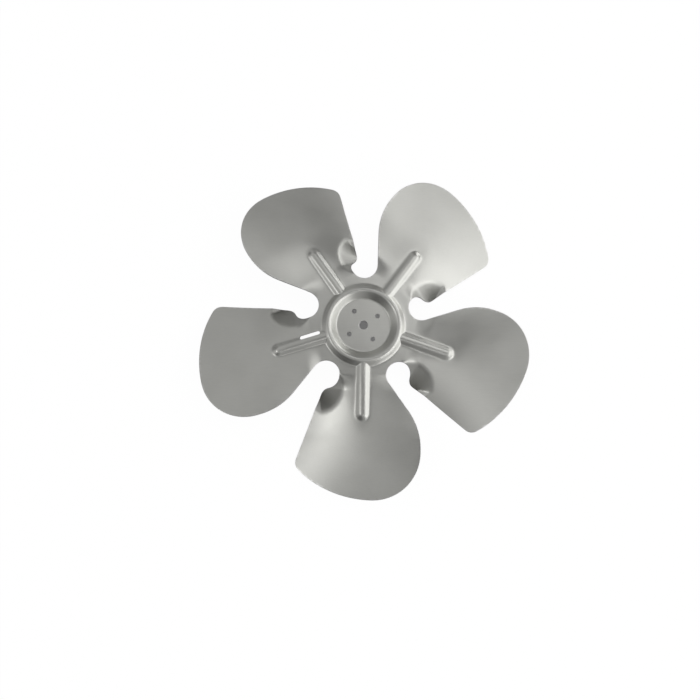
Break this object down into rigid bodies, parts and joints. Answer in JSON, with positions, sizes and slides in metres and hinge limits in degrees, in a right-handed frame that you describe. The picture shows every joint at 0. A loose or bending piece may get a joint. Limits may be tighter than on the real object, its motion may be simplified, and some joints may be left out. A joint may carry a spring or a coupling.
{
  "type": "fan blade",
  "caption": "Axial fan wheel pressed from one aluminium sheet: broad pitched blades with stiffening ribs around a dished hub with a centre bore and screw holes, for a small motor fan.",
  "frame": {"origin": "centre of the bore, on the back face of the drilled hub disc", "axes": "+Z along the axis of rotation towards the front of the wheel; the first rib points along -Y"},
  "size_m": [0.2477, 0.2431, 0.0254],
  "materials": {
    "aluminium_sheet": "satin"
  },
  "bodies": {
    "root": {"fan_blade": "aluminium_sheet"}
  },
  "joints": []
}
